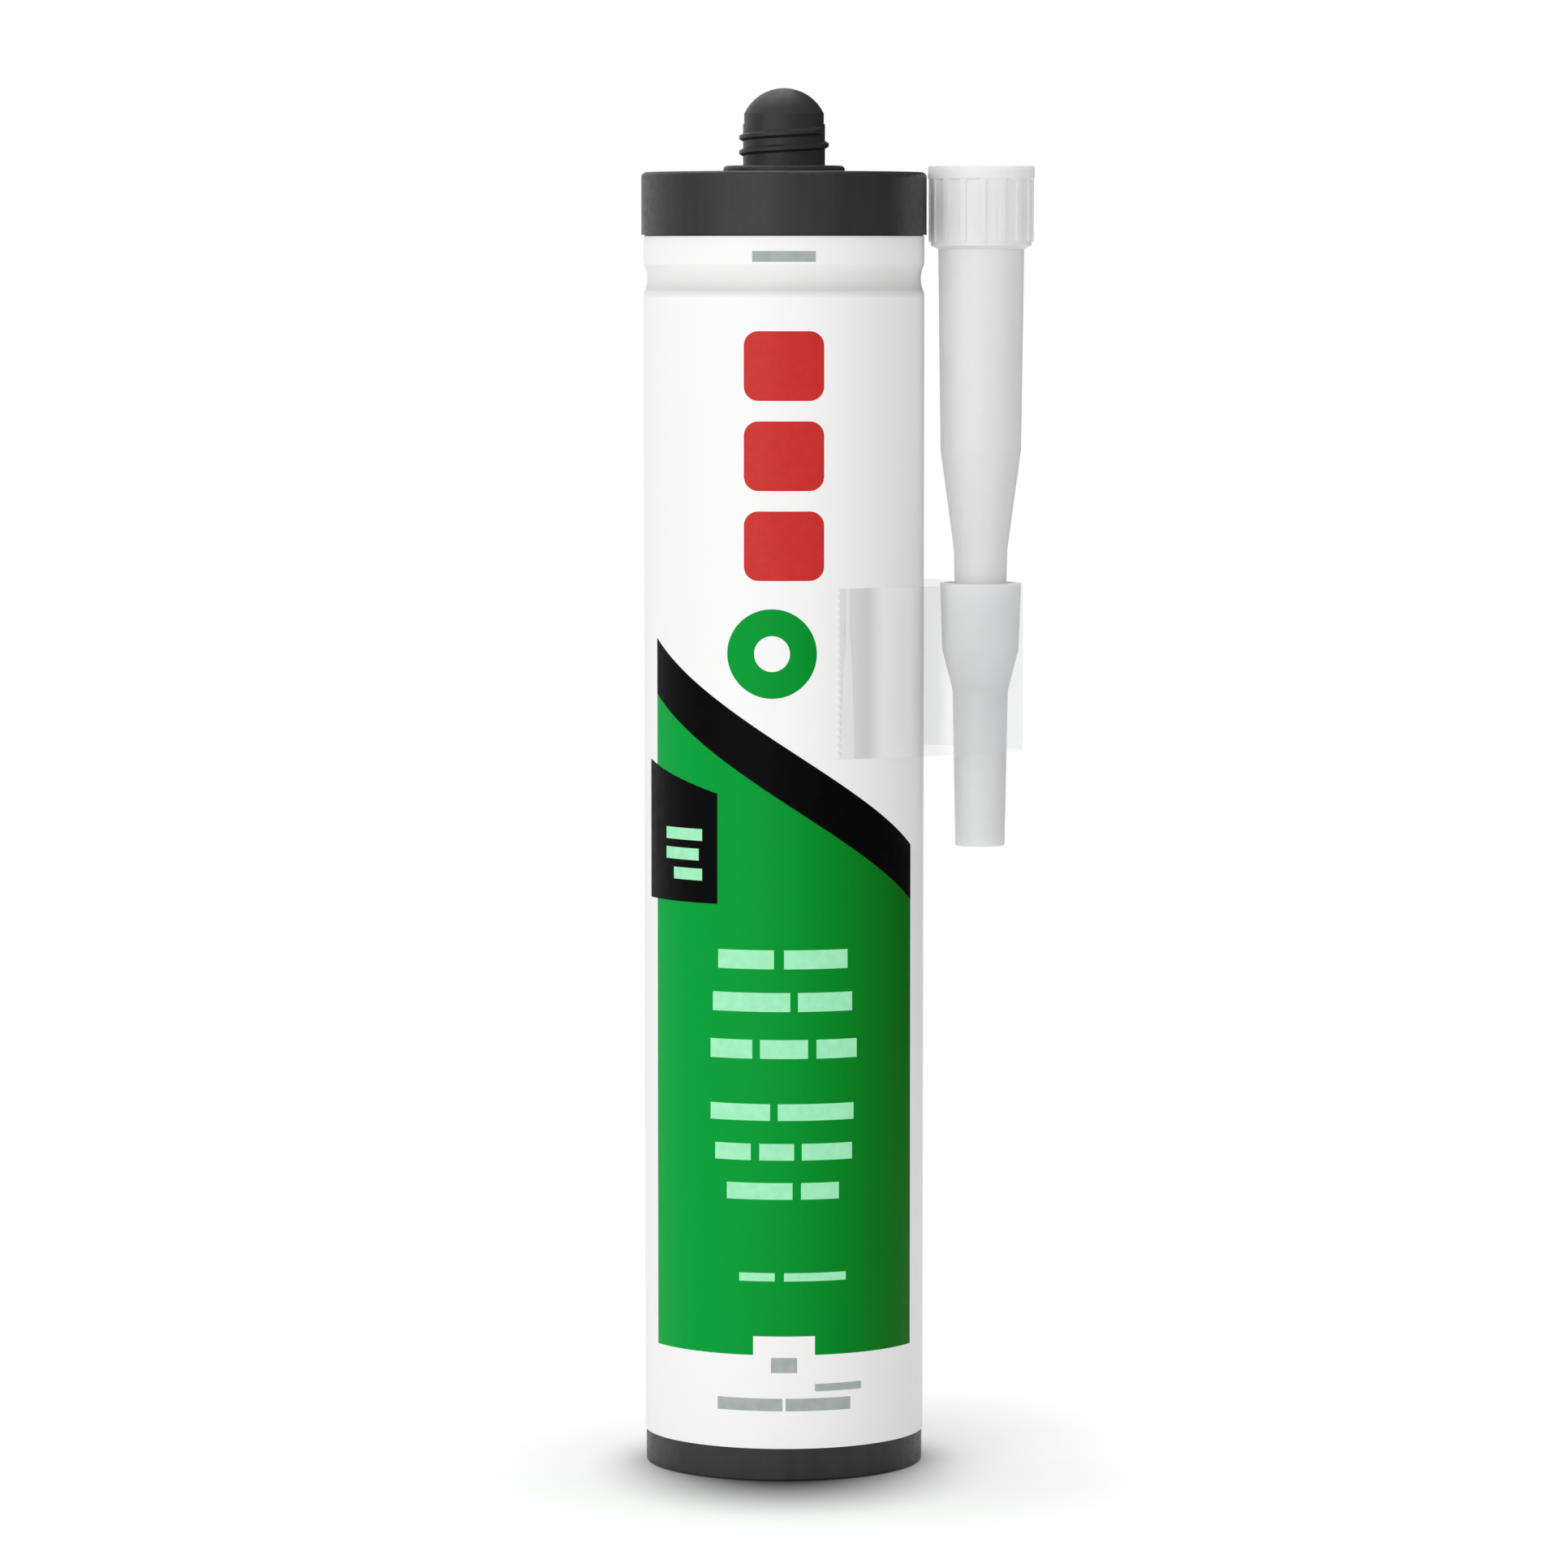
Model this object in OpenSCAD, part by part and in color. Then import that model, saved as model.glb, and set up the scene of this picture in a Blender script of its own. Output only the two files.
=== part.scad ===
// Sealant cartridge: a one-piece barrel with a threaded neck, its piston and its filling,
// a printed wrap, and a screw-on nozzle that is taped to the side with its base up.
// The foot stands on z = 0, the barrel's axis is the Z axis and the front looks along -Y.

/* [Barrel] */
// Height of the flat of the head above the foot
head_z = 220; // [210:1:280]
// Outside diameter of the barrel
barrel_d = 47.2; // [44:0.1:56]
// Wall of the barrel
barrel_wall = 1.3; // [1:0.1:2]
// Depth of the wider lead-in at the open foot
lead_in_h = 12; // [6:0.5:16]
// Extra radius of the lead-in
lead_in_step = 0.3; // [0.1:0.05:0.4]
// Radius of the edge round the foot
foot_round = 0.3; // [0.1:0.1:0.5]
// Fall from the lower edge of the head rim to the middle of the ring groove
groove_drop = 7.4; // [5:0.1:12]
// Width of the ring groove
groove_w = 5; // [3:0.1:7]
// Depth of the ring groove
groove_depth = 0.6; // [0.3:0.05:0.8]

/* [Head] */
// How far the head rim stands out from the barrel
rim_step = 0.6; // [0.4:0.05:1.5]
// Height of the head rim
rim_h = 10.6; // [6:0.1:14]
// Radius of the upper edge of the rim
rim_round = 0.9; // [0.4:0.1:1.5]
// Thickness of the head
head_wall = 2.4; // [2:0.1:4]
// Depth of the dished ring in the head
dish_depth = 0.8; // [0.4:0.1:1.2]
// Width of the flat land outside the dished ring
dish_land = 2.6; // [2:0.1:5]
// Diameter of the seat round the neck
seat_d = 20.6; // [18:0.1:24]
// Height of the seat above the head
seat_h = 1.1; // [0.8:0.1:3]
// Radius of the upper edge of the seat
seat_round = 0.7; // [0.3:0.1:0.9]

/* [Neck] */
// Diameter of the neck between the turns of the thread
core_d = 13.9; // [11:0.1:14.5]
// Radial height of the thread
thread_depth = 0.65; // [0.5:0.05:1.1]
// Rise of the thread in one turn
thread_pitch = 2.5; // [2:0.1:3.5]
// Width of the crest of the thread
thread_crest = 0.6; // [0.4:0.05:0.9]
// Width of the root of the thread
thread_root = 1.4; // [1:0.05:1.8]
// Height of the threaded stretch above the seat
neck_h = 7; // [6:0.1:12]
// How far the plain pilot above the thread stands in from the neck
pilot_step = 0.2; // [0.2:0.05:0.5]
// Height of the pilot
pilot_h = 1.8; // [1.5:0.1:3]
// Height of the closed dome above the pilot
dome_h = 4.3; // [3.6:0.1:5.5]
// Wall of the neck and of its dome
neck_wall = 1.4; // [1:0.1:2]

/* [Piston and filling] */
// Distance of the rear edge of the piston from the end of the lead-in
piston_inset = 2; // [1:0.5:10]
// Height of the piston
piston_h = 12; // [9:0.5:18]
// Running gap between the piston's lips and the barrel
piston_gap = 0.05; // [0.02:0.01:0.1]
// Thickness of the piston's crown
crown_wall = 1.6; // [1:0.1:2.5]
// Wall of the piston's skirt behind the grooves
skirt_wall = 1.2; // [0.8:0.1:2]
// Depth of the two grooves between the lips
lip_groove = 0.8; // [0.4:0.1:1.2]
// Height of each groove between the lips
lip_groove_h = 2.6; // [1.5:0.1:3]
// Number of webs under the crown
web_count = 8; // [4:1:12]
// Thickness of a web
web_w = 1; // [0.6:0.1:2]
// Height of the webs under the crown
web_h = 2.6; // [1.5:0.1:4]
// Diameter of the boss in the middle of the webs
boss_d = 9; // [6:0.5:14]
// Gap between the filling and the barrel
paste_gap = 0.05; // [0.02:0.01:0.1]
// Radius of the inner corner of the filling at the head
paste_round = 1; // [0.5:0.1:2]

/* [Wrap] */
// Thickness of the wrap
wrap_t = 0.2; // [0.1:0.05:0.3]
// Height of the bare band under the wrap
foot_band = 5.5; // [4:0.1:10]
// Gap between the wrap and the head rim
wrap_gap = 0.2; // [0.1:0.05:0.5]

/* [Print] */
// Half angle of the green panel about the front
panel_angle = 64; // [50:1:80]
// Height of the lower edge of the green panel above the foot
panel_z = 21.4; // [18:0.1:26]
// Gap between the green disc and the stripe at the front
stripe_gap = 8; // [7:0.1:12]
// Fall of the stripe from the left side of the green panel to its right side
stripe_drop = 35; // [25:0.5:40]
// Height of the stripe
stripe_h = 9.4; // [5:0.1:11]
// Nearest angle of the dark box to the left of the front
box_from = 28; // [27:1:34]
// Farthest angle of the dark box
box_to = 71; // [60:1:110]
// Gap between the stripe and the near corner of the dark box
box_gap = 6.3; // [3:0.1:9]
// Fall of the dark box's upper edge from its far side to its near side
box_drop = 5; // [0:0.5:12]
// Height of the dark box at its near side
box_h = 18.6; // [14:0.1:20]
// Side of a red block across the barrel
block_w = 13.4; // [10:0.1:16]
// Height of a red block
block_h = 11.6; // [9:0.1:12]
// Gap between two red blocks
block_gap = 3.4; // [2:0.1:4]
// Radius of a red block's corners
block_round = 2.4; // [1:0.1:4]
// Fall from the top of the wrap to the upper red block
block_drop = 15.8; // [14:0.1:18]
// Diameter of the green disc
disc_d = 15; // [13:0.1:20]
// Gap between the lowest red block and the green disc
disc_gap = 4.7; // [2:0.1:6]
// Distance of the green disc to the left of the middle
disc_x = 2; // [0:0.1:6]
// Diameter of the white eye of the disc
eye_d = 6; // [4:0.1:9]
// Width of the column of pale bars
copy_w = 26; // [22:0.5:30]
// Height of a tall pale bar
bar_h = 3.2; // [2:0.1:4]

/* [Nozzle] */
// Gap between the nozzle's flange and the head rim
nozzle_gap = 0.2; // [0.2:0.05:0.5]
// Height of the nozzle's base above the flat of the head
nozzle_rise = 1; // [0:0.1:4]
// Gap between the nozzle's thread and the neck's thread
thread_gap = 0.15; // [0.1:0.05:0.3]
// Wall of the nozzle's collar behind its thread
collar_wall = 0.8; // [0.8:0.1:1.6]
// Height of the collar with its flange
collar_h = 14; // [11:0.5:18]
// How far the flange stands out from the collar
flange_step = 0.5; // [0.4:0.05:2]
// Height of the flange
flange_h = 2.4; // [1.5:0.1:4]
// Number of grip ribs on the collar
rib_count = 16; // [8:1:20]
// Width of a grip rib
rib_w = 1.1; // [0.6:0.1:1.4]
// Height of a grip rib above the collar
rib_h = 0.35; // [0.3:0.05:0.7]
// Wall of the nozzle below the collar
nozzle_wall = 1; // [0.7:0.1:1.3]
// How far the cone stands in from the collar at its wide end
cone_step = 1.25; // [1:0.05:2]
// Length of the wide cone
cone_l = 34; // [20:1:40]
// How much the radius of the wide cone falls along its length
cone_fall = 0.45; // [0.2:0.05:1]
// Length of the shoulder between the cone and the stem
shoulder_l = 17; // [10:1:24]
// Diameter of the stem under the shoulder
stem_d = 9.1; // [7:0.1:10]
// Length of the stem
stem_l = 46; // [40:1:60]
// Diameter of the tip
tip_d = 7; // [5:0.1:8]

/* [Tip cap and tape] */
// Distance of the cap's mouth from the shoulder
mouth_drop = 5.6; // [2:0.1:10]
// Gap between the cap and the stem
cap_gap = 0.1; // [0.05:0.05:0.2]
// Wall of the cap round the stem
cap_wall = 0.6; // [0.5:0.05:0.9]
// Gap between the nozzle's tip and the cap's end
cap_end_gap = 3.4; // [1:0.1:6]
// Thickness of the cap's end
cap_end_wall = 1; // [0.6:0.1:2]
// Radius of the cap's mouth
mouth_r = 6.9; // [6.2:0.1:8]
// How much narrower the foot of the mouth ring is
mouth_fall = 0.4; // [0.1:0.1:0.6]
// Height of the mouth ring
mouth_h = 11.4; // [6:0.1:14]
// Wall of the mouth ring
mouth_wall = 0.9; // [0.7:0.1:1.2]
// Height of the flare under the mouth ring
flare_h = 7; // [4:0.1:10]
// Width of the tape along the barrel
tape_w = 28.6; // [15:0.1:34]
// Thickness of the tape
tape_t = 0.2; // [0.1:0.05:0.3]
// Gap between the tape's loop and the cap
tape_gap = 0.3; // [0.1:0.05:0.5]
// Angle of barrel that each stuck end of the tape covers
tape_stick = 8; // [5:1:14]

/* [Hidden] */

$fn = 96;
// Overlap that keeps cuts and joins clean
eps = 0.5;

barrel_r = barrel_d / 2;
bore_r = barrel_r - barrel_wall;
rim_r = barrel_r + rim_step;
rim_z = head_z - rim_h;
head_under_z = head_z - head_wall;
groove_z = rim_z - groove_drop;
// Radius of the arc that is as wide and as deep as the groove
groove_r = (groove_w * groove_w / 4 + groove_depth * groove_depth) / (2 * groove_depth);
groove_axis_r = barrel_r + groove_r - groove_depth;

core_r = core_d / 2;
crest_r = core_r + thread_depth;
neck_bore_r = core_r - neck_wall;
seat_z = head_z + seat_h;
pilot_r = core_r - pilot_step;
dome_z = seat_z + neck_h + pilot_h;
tip_z = dome_z + dome_h;
dome_r = (pilot_r * pilot_r + dome_h * dome_h) / (2 * dome_h);
// Plain stretch left at each end of a thread
thread_end = 0.3;
thread_lift = thread_root / 2 + thread_end;
// Sections of a thread in one turn, and sections over which its end fades
thread_steps = 24;
thread_fade = 4;
// Depth to which a thread is sunk into its wall
thread_sink = 0.3;

piston_z = lead_in_h + piston_inset;
piston_r = bore_r - piston_gap;
skirt_r = piston_r - lip_groove - skirt_wall;
crown_z = piston_z + piston_h;
lip_h = (piston_h - 2 * lip_groove_h) / 3;

wrap_r = barrel_r + wrap_t;
wrap_top = rim_z - wrap_gap;
block_step = block_h + block_gap;
disc_z = wrap_top - block_drop - 2 * block_step - block_h - disc_gap - disc_d / 2;
stripe_z = disc_z - disc_d / 2 - stripe_gap - stripe_h / 2;
// Falls over one degree to the right
stripe_fall = stripe_drop / (2 * panel_angle);
box_fall = box_drop / (box_to - box_from);
box_top = stripe_z + stripe_fall * box_from - stripe_h / 2 - box_gap;
panel_h = stripe_z - stripe_h / 2 - panel_z;
// Angle of one facet of a sloping edge
field_step = 4;
// Shares of the barrel's radius between which a field cuts through the wrap
field_near = 0.5;
field_far = 1.2;

// Rows of pale bars: shares of the green panel's height and of a bar's height, then the left
// end and the width of each bar, as shares of half the column
bar_rows = [
    [0.717, 1, [[-0.85, 0.72], [0, 0.82]]],
    [0.64, 1, [[-0.92, 1], [0.18, 0.7]]],
    [0.555, 1, [[-0.95, 0.54], [-0.31, 0.62], [0.42, 0.52]]],
    [0.441, 0.88, [[-0.95, 0.77], [-0.08, 0.98]]],
    [0.369, 0.88, [[-0.89, 0.46], [-0.32, 0.45], [0.23, 0.65]]],
    [0.298, 0.88, [[-0.74, 0.85], [0.22, 0.49]]],
    [0.142, 0.44, [[-0.58, 0.46], [0, 0.8]]]
];
// Pale bars in the dark box: fall from its top, as a share of its height, then the two ends, as
// shares of its angle
box_bars = [[0.33, 0.17, 0.66], [0.51, 0.21, 0.66], [0.69, 0.17, 0.54]];
box_bar_h = 2;
// Grey marks: middle across and width, as shares of half the column, then middle height and
// height, as shares of the height of the green panel's lower edge
grey_marks = [
    [0, 0.34, 0.92, 0.12],
    [-0.44, 0.84, 0.606, 0.1],
    [0.44, 0.84, 0.606, 0.1],
    [0.7, 0.6, 0.74, 0.06]
];
// Tab of bare wrap that rises into the green panel
tab_w = 10.4;
tab_h = 3.2;
// Batch mark above the groove
batch_w = 10.6;
batch_h = 1.8;
batch_gap = 0.4;

collar_r = crest_r + thread_gap + collar_wall;
socket_r = crest_r + thread_gap;
socket_crest_r = core_r + thread_gap;
flange_r = collar_r + flange_step;
nozzle_x = rim_r + nozzle_gap + flange_r;
nozzle_z = head_z + nozzle_rise;
cone_r = collar_r - cone_step;
waist_r = cone_r - cone_fall;
stem_r = stem_d / 2;
tip_r = tip_d / 2;
cone_end = collar_h + cone_l;
shoulder_end = cone_end + shoulder_l;
nozzle_l = shoulder_end + stem_l;
stem_taper = (stem_r - tip_r) / stem_l;

mouth_u = shoulder_end + mouth_drop;
ring_u = mouth_u + mouth_h;
flare_u = ring_u + flare_h;
cap_end_u = nozzle_l + cap_end_gap + cap_end_wall;

tape_top = nozzle_z - mouth_u;
loop_r = mouth_r + tape_gap;
// Angle from the X axis at which the tape leaves the barrel as a straight strip
leave_angle = acos((wrap_r - loop_r) / nozzle_x);

// Radius of the stem at the distance u from the nozzle's base
function stem_at(u) = stem_r - stem_taper * (min(u, nozzle_l) - shoulder_end);

// Point at a radius, an angle to the right of the front and a height
function round_point(r, a, z) = [r * sin(a), -r * cos(a), z];

// Helical ridge with faded ends: four corners a section, from r_base to r_top, either way
module thread_ridge(r_base, r_top, length) {
    sections = ceil(length / thread_pitch * thread_steps);
    slope = (thread_root - thread_crest) / 2 / abs(r_top - r_base);
    side = sign(r_top - r_base);
    points = [for (i = [0:sections])
        let (a = 360 * i / thread_steps, z = length * i / sections,
             full = min(1, i / thread_fade, (sections - i) / thread_fade),
             reach = (abs(r_top - r_base) + 2 * thread_sink) * full,
             low = r_base - side * thread_sink,
             high = low + side * max(reach, thread_sink / 2),
             half_low = thread_root / 2 + slope * thread_sink,
             half_high = half_low - slope * abs(high - low))
        for (p = [[low, -half_low], [high, -half_high], [high, half_high], [low, half_low]])
            [p[0] * cos(a), p[0] * sin(a), z + p[1]]];
    faces = concat(
        [side > 0 ? [3, 2, 1, 0] : [0, 1, 2, 3]],
        [[for (k = [0:3]) 4 * sections + (side > 0 ? k : 3 - k)]],
        [for (i = [0:sections - 1], k = [0:3], half = [0, 1])
            let (a = 4 * i + k, b = 4 * i + (k + 1) % 4, c = b + 4, d = a + 4,
                 tri = half == 0 ? [a, c, d] : [a, b, c])
            side > 0 ? tri : [tri[2], tri[1], tri[0]]]);
    polyhedron(points, faces);
}

// Cuts the outer upper corner of a profile at [x, y] to a radius
module upper_corner(x, y, r) {
    translate([x - r, y - r])
        difference() {
            square(r + eps);
            circle(r);
        }
}

// Cuts the outer lower corner of a profile at [x, y] to a radius
module lower_corner(x, y, r) {
    translate([x - r, y + r])
        difference() {
            translate([0, -r - eps]) square(r + eps);
            circle(r);
        }
}

// Half section of the cartridge's outside, up to the neck
module cartridge_outside() {
    difference() {
        union() {
            square([barrel_r, rim_z + eps]);
            translate([0, rim_z]) square([rim_r, rim_h]);
        }
        lower_corner(barrel_r, 0, foot_round);
        upper_corner(rim_r, head_z, rim_round);
        translate([groove_axis_r, groove_z]) circle(groove_r);
        translate([seat_d / 2, head_z - dish_depth])
            square([rim_r - dish_land - seat_d / 2, dish_depth + eps]);
    }
    difference() {
        translate([0, head_z - eps]) square([seat_d / 2, seat_h + eps]);
        upper_corner(seat_d / 2, seat_z, seat_round);
    }
    translate([0, seat_z - eps]) square([core_r, neck_h + eps]);
    translate([0, seat_z]) square([pilot_r, neck_h + pilot_h]);
    intersection() {
        translate([0, tip_z - dome_r]) circle(dome_r);
        translate([0, dome_z - eps]) square([pilot_r, dome_h + eps]);
    }
}

// Half section of the space inside the cartridge
module cartridge_inside() {
    translate([0, -eps]) square([bore_r, head_under_z + eps]);
    translate([0, -eps]) square([bore_r + lead_in_step, lead_in_h + eps]);
    translate([0, head_under_z - eps]) square([neck_bore_r, dome_z - head_under_z + eps]);
    intersection() {
        translate([0, tip_z - dome_r]) circle(dome_r - neck_wall);
        translate([0, dome_z - eps]) square([neck_bore_r, dome_h]);
    }
}

module cartridge() {
    color("#202023") {
        rotate_extrude()
            difference() {
                cartridge_outside();
                cartridge_inside();
            }
        intersection() {
            translate([0, 0, seat_z + thread_lift])
                thread_ridge(core_r, crest_r, neck_h - 2 * thread_lift);
            translate([0, 0, seat_z]) cylinder(h = neck_h, r = crest_r);
        }
    }
}

// Lip profile, crown and skirt of the piston, then the webs and boss under the crown
module piston() {
    groove_bulge = (lip_groove_h * lip_groove_h / 4 + lip_groove * lip_groove) / (2 * lip_groove);
    color("#e9e7dc")
        translate([0, 0, piston_z]) {
            rotate_extrude()
                difference() {
                    square([piston_r, piston_h]);
                    translate([0, -eps]) square([skirt_r, piston_h - crown_wall + eps]);
                    for (i = [1:2])
                        translate([piston_r + groove_bulge - lip_groove,
                                   i * (lip_h + lip_groove_h) - lip_groove_h / 2])
                            circle(groove_bulge);
                }
            web_z = piston_h - crown_wall - web_h;
            translate([0, 0, web_z]) cylinder(h = web_h + eps, d = boss_d);
            for (i = [0:web_count - 1])
                rotate(360 * i / web_count)
                    translate([0, -web_w / 2, web_z]) cube([skirt_r + eps, web_w, web_h + eps]);
        }
}

module sealant() {
    color("#f3f1ea")
        rotate_extrude()
            difference() {
                translate([0, crown_z])
                    square([bore_r - paste_gap, head_under_z - paste_gap - crown_z]);
                upper_corner(bore_r - paste_gap, head_under_z - paste_gap, paste_round);
            }
}

// Half section inside the wrap's outer face, or the barrel's where grow is 0
module wrap_outline(grow) {
    difference() {
        translate([0, foot_band]) square([barrel_r + grow, wrap_top - foot_band]);
        translate([groove_axis_r, groove_z]) circle(groove_r - grow);
    }
}

module wrap() {
    rotate_extrude()
        difference() {
            wrap_outline(wrap_t);
            wrap_outline(0);
        }
}

// Block through the wrap between two angles to the right of the front and two heights
module field(from, to, low, high) {
    rotate(from - 90)
        rotate_extrude(angle = to - from)
            translate([field_near * barrel_r, low])
                square([(field_far - field_near) * barrel_r, high - low]);
}

// Block through the wrap whose lower and upper edges fall by so much each degree
module sloped_field(from, to, low, low_fall, high, high_fall) {
    steps = ceil((to - from) / field_step);
    r_in = field_near * barrel_r;
    r_out = field_far * barrel_r;
    points = [for (i = [0:steps])
        let (a = from + (to - from) * i / steps, zl = low - low_fall * a, zh = high - high_fall * a)
        each [round_point(r_in, a, zl), round_point(r_out, a, zl),
              round_point(r_out, a, zh), round_point(r_in, a, zh)]];
    faces = concat(
        [[3, 2, 1, 0]],
        [[for (k = [0:3]) 4 * steps + k]],
        [for (i = [0:steps - 1], k = [0:3], half = [0, 1])
            let (a = 4 * i + k, b = 4 * i + (k + 1) % 4, c = b + 4, d = a + 4)
            half == 0 ? [a, c, d] : [a, b, c]]);
    polyhedron(points, faces);
}

// Puts a flat shape, drawn in x and z, through the front of the wrap
module on_front(x, z) {
    translate([x, -field_near * barrel_r, z])
        rotate([90, 0, 0]) linear_extrude((field_far - field_near) * barrel_r) children();
}

module rounded_plate(w, h, r) {
    square([w - 2 * r, h], center = true);
    square([w, h - 2 * r], center = true);
    for (x = [-1, 1], y = [-1, 1])
        translate([x * (w / 2 - r), y * (h / 2 - r)]) circle(r);
}

module stripe_field() {
    sloped_field(-panel_angle, panel_angle, stripe_z - stripe_h / 2, stripe_fall,
        stripe_z + stripe_h / 2, stripe_fall);
}

module box_field() {
    sloped_field(-box_to, -box_from, box_top - box_h, 0, box_top - box_fall * box_from, box_fall);
}

module pale_fields() {
    for (row = bar_rows, bar = row[2])
        on_front((bar[0] + bar[1] / 2) * copy_w / 2, panel_z + row[0] * panel_h)
            square([bar[1] * copy_w / 2, row[1] * bar_h], center = true);
    span = box_to - box_from;
    for (bar = box_bars)
        field(-box_from - bar[2] * span, -box_from - bar[1] * span,
            box_top - bar[0] * box_h - box_bar_h, box_top - bar[0] * box_h);
}

module red_fields() {
    for (i = [0:2])
        on_front(0, wrap_top - block_drop - block_h / 2 - i * block_step)
            rounded_plate(block_w, block_h, block_round);
}

module grey_fields() {
    for (mark = grey_marks)
        on_front(mark[0] * copy_w / 2, mark[2] * panel_z)
            square([mark[1] * copy_w / 2, mark[3] * panel_z], center = true);
    on_front(0, groove_z + groove_w / 2 + batch_gap + batch_h / 2)
        square([batch_w, batch_h], center = true);
}

module green_fields() {
    difference() {
        sloped_field(-panel_angle, panel_angle, panel_z, 0, stripe_z, stripe_fall);
        on_front(0, panel_z + tab_h / 2 - eps / 2)
            square([tab_w, tab_h + eps], center = true);
    }
    on_front(-disc_x, disc_z)
        difference() {
            circle(d = disc_d);
            circle(d = eye_d);
        }
}

module black_fields() {
    difference() {
        union() {
            stripe_field();
            box_field();
        }
        pale_fields();
    }
}

module label() {
    color("#f5f5f3")
        difference() {
            wrap();
            green_fields();
            stripe_field();
            box_field();
            red_fields();
            grey_fields();
        }
}

module print_green() {
    color("#12964a")
        intersection() {
            wrap();
            difference() {
                green_fields();
                stripe_field();
                box_field();
                pale_fields();
                grey_fields();
            }
        }
}

module print_black() {
    color("#18181a")
        intersection() {
            wrap();
            black_fields();
        }
}

module print_red() {
    color("#b8161b")
        intersection() {
            wrap();
            red_fields();
        }
}

module print_pale() {
    color("#bff3d2")
        intersection() {
            wrap();
            pale_fields();
        }
}

module print_grey() {
    color("#9aa3a0")
        intersection() {
            wrap();
            grey_fields();
        }
}

// The nozzle in its own frame: its base is at 0 and it points up
module nozzle_upright() {
    difference() {
        union() {
            rotate_extrude()
                polygon([[0, 0], [flange_r, 0], [flange_r, flange_h - rib_h], [collar_r, flange_h],
                    [collar_r, collar_h - cone_step / 2], [cone_r, collar_h],
                    [waist_r, cone_end], [stem_r, shoulder_end], [tip_r, nozzle_l], [0, nozzle_l]]);
            for (i = [0:rib_count - 1])
                rotate(360 * i / rib_count)
                    translate([collar_r - eps, -rib_w / 2, flange_h - eps])
                        cube([rib_h + eps, rib_w, collar_h - cone_step - flange_h + eps]);
        }
        rotate_extrude()
            polygon([[0, -eps], [socket_r, -eps], [socket_r, collar_h - nozzle_wall - cone_step],
                [cone_r - nozzle_wall, collar_h], [waist_r - nozzle_wall, cone_end],
                [stem_r - nozzle_wall, shoulder_end], [tip_r - nozzle_wall, nozzle_l + eps],
                [0, nozzle_l + eps]]);
    }
    difference() {
        translate([0, 0, thread_lift])
            thread_ridge(socket_r, socket_crest_r, neck_h - 2 * thread_lift);
        translate([0, 0, -eps]) cylinder(h = neck_h + 2 * eps, r = socket_crest_r);
    }
}

module nozzle() {
    color("#e8ebea")
        translate([nozzle_x, 0, nozzle_z]) rotate([180, 0, 0]) nozzle_upright();
}

// The cap in the nozzle's frame: a flared mouth over the stem, closed past the tip
module nozzle_cap() {
    color("#dfe3e2")
        translate([nozzle_x, 0, nozzle_z])
            rotate([180, 0, 0])
                rotate_extrude()
                    difference() {
                        polygon([[0, mouth_u], [mouth_r, mouth_u], [mouth_r - mouth_fall, ring_u],
                            [stem_at(flare_u) + cap_gap + cap_wall, flare_u],
                            [tip_r + cap_gap + cap_wall, cap_end_u], [0, cap_end_u]]);
                        polygon([[0, mouth_u - eps], [mouth_r - mouth_wall, mouth_u - eps],
                            [mouth_r - mouth_fall - mouth_wall, ring_u],
                            [stem_at(flare_u) + cap_gap, flare_u],
                            [tip_r + cap_gap, nozzle_l], [tip_r + cap_gap, nozzle_l + cap_end_gap],
                            [0, nozzle_l + cap_end_gap]]);
                    }
}

// Outline of the barrel and the loop, joined by the tape's straight stretches
module tape_outline(grow) {
    circle(wrap_r + grow);
    translate([nozzle_x, 0]) circle(loop_r + grow);
    polygon([for (p = [[0, wrap_r, -1], [nozzle_x, loop_r, -1], [nozzle_x, loop_r, 1],
                       [0, wrap_r, 1]])
        [p[0] + (p[1] + grow) * cos(leave_angle), p[2] * (p[1] + grow) * sin(leave_angle)]]);
}

module holding_tape() {
    end_angle = leave_angle + tape_stick;
    far = 2 * nozzle_x;
    color("#dfeaf0", 0.4)
        translate([0, 0, tape_top - tape_w])
            linear_extrude(tape_w)
                intersection() {
                    difference() {
                        tape_outline(tape_t);
                        tape_outline(0);
                    }
                    polygon([[0, 0], far * [cos(end_angle), -sin(end_angle)], [far, -far],
                        [far, far], far * [cos(end_angle), sin(end_angle)]]);
                }
}

cartridge();
piston();
sealant();
label();
print_green();
print_black();
print_red();
print_pale();
print_grey();
nozzle();
nozzle_cap();
holding_tape();
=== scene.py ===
import math
import random

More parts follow.
